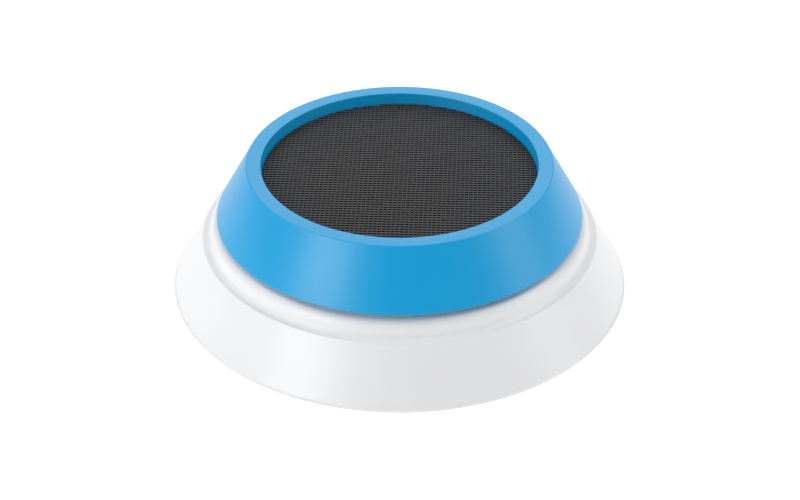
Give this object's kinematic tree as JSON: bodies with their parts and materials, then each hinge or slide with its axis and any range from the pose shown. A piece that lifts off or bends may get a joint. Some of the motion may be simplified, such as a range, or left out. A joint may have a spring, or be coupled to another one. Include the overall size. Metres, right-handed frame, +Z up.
{
  "type": "vortex mixer",
  "caption": "Round touch-operated vortex mixer: a conical base with a springy drive inside swings a dish-shaped head with a rubber mat in a small circle.",
  "frame": {"origin": "centre of the footprint on the floor, on the axis of the base and of the motor", "axes": "+Z up; the bay with the dial, the switch and the inlet faces +Y, the plain front faces -Y"},
  "size_m": [0.16, 0.16, 0.049],
  "materials": {
    "white_abs": "moulded, fine satin",
    "blue_abs": "moulded, satin",
    "mat_rubber": "moulded square texture, matt",
    "foot_rubber": "matt",
    "painted_steel": "powder coat",
    "screw_steel": "zinc plated",
    "spring_steel": "drawn wire",
    "bearing_steel": "ground",
    "aluminium": "turned",
    "brass": "turned",
    "copper_winding": "enamelled copper wire on laminated iron",
    "ferrite": "sintered",
    "circuit_board": "glass-fibre board, green mask",
    "nylon": "natural nylon",
    "black_plastic": "moulded, fine texture"
  },
  "bodies": {
    "base": {"base_housing": "white_abs", "base_plate": "painted_steel", "rubber_foot_1": "foot_rubber", "rubber_foot_2": "foot_rubber", "rubber_foot_3": "foot_rubber", "rubber_foot_4": "foot_rubber", "base_screw_1": "screw_steel", "base_screw_2": "screw_steel", "base_screw_3": "screw_steel", "base_screw_4": "screw_steel", "guide_bolt_1": "screw_steel", "guide_bolt_2": "screw_steel", "guide_bolt_3": "screw_steel", "press_spring_1": "spring_steel", "press_spring_2": "spring_steel", "press_spring_3": "spring_steel", "control_board": "circuit_board", "smoothing_capacitor": "black_plastic", "microswitch": "black_plastic", "speed_potentiometer": "black_plastic", "rocker_switch_body": "black_plastic", "dc_inlet": "black_plastic", "dc_inlet_pin": "brass"},
    "drive_carriage": {"chassis_plate": "aluminium", "guide_bush_1": "nylon", "guide_bush_2": "nylon", "guide_bush_3": "nylon", "idler_bush_1": "brass", "idler_bush_2": "brass", "idler_bush_3": "brass", "motor_mount": "aluminium", "motor_bearing_lower": "bearing_steel", "motor_bearing_upper": "bearing_steel", "motor_stator": "copper_winding", "motor_screw_1": "screw_steel", "motor_screw_2": "screw_steel", "motor_screw_3": "screw_steel"},
    "crank": {"motor_shaft": "bearing_steel", "rotor_bell": "bearing_steel", "magnet_ring": "ferrite", "flywheel": "bearing_steel", "counterweight": "brass", "counterweight_screw_1": "screw_steel", "counterweight_screw_2": "screw_steel"},
    "head": {"head_cover": "blue_abs", "rubber_mat": "mat_rubber", "platform_plate": "aluminium", "platform_bearing": "bearing_steel", "platform_screw_1": "screw_steel", "platform_screw_2": "screw_steel", "platform_screw_3": "screw_steel"},
    "idler_1": {"idler_crank_1": "bearing_steel"},
    "idler_2": {"idler_crank_2": "bearing_steel"},
    "idler_3": {"idler_crank_3": "bearing_steel"},
    "plunger": {"switch_plunger": "brass"},
    "dial": {"speed_dial": "black_plastic", "dial_shaft": "aluminium"},
    "rocker": {"power_rocker": "black_plastic"}
  },
  "joints": [
    {"name": "press_down", "type": "slide", "parent": "base", "child": "drive_carriage", "axis": [0, 0, 1], "range_m": [-0.0008, 0], "stiffness_N_per_m": 5000, "springref_m": 0.0016, "deforming": ["press_spring_1", "press_spring_2", "press_spring_3"]},
    {"name": "drive_spin", "type": "hinge", "parent": "drive_carriage", "child": "crank", "pos_m": [0, 0, 0.03], "axis": [0, 0, 1], "continuous": true},
    {"name": "head_orbit", "type": "hinge", "parent": "crank", "child": "head", "pos_m": [0, -0.0015, 0.037], "axis": [0, 0, 1], "continuous": true},
    {"name": "idler_1_turn", "type": "hinge", "parent": "drive_carriage", "child": "idler_1", "pos_m": [0, 0.0375, 0.031], "axis": [0, 0, 1], "continuous": true},
    {"name": "idler_2_turn", "type": "hinge", "parent": "drive_carriage", "child": "idler_2", "pos_m": [-0.03248, -0.01875, 0.031], "axis": [0, 0, 1], "continuous": true},
    {"name": "idler_3_turn", "type": "hinge", "parent": "drive_carriage", "child": "idler_3", "pos_m": [0.03248, -0.01875, 0.031], "axis": [0, 0, 1], "continuous": true},
    {"name": "switch_plunger_travel", "type": "slide", "parent": "base", "child": "plunger", "axis": [0, 0, 1], "range_m": [-0.0008, 0]},
    {"name": "speed_dial_turn", "type": "hinge", "parent": "base", "child": "dial", "pos_m": [0, 0.065, 0.013], "axis": [0, 1, 0], "range_deg": [-140, 140]},
    {"name": "power_rocker_tip", "type": "hinge", "parent": "base", "child": "rocker", "pos_m": [0.018, 0.0606, 0.013], "axis": [0, 0, 1], "range_deg": [-14, 0]}
  ],
  "couplings": [
    {"joint": "head_orbit", "follows": "drive_spin", "ratio": -1},
    {"joint": "idler_1_turn", "follows": "drive_spin", "ratio": 1},
    {"joint": "idler_2_turn", "follows": "drive_spin", "ratio": 1},
    {"joint": "idler_3_turn", "follows": "drive_spin", "ratio": 1},
    {"joint": "switch_plunger_travel", "follows": "press_down", "ratio": 1}
  ]
}
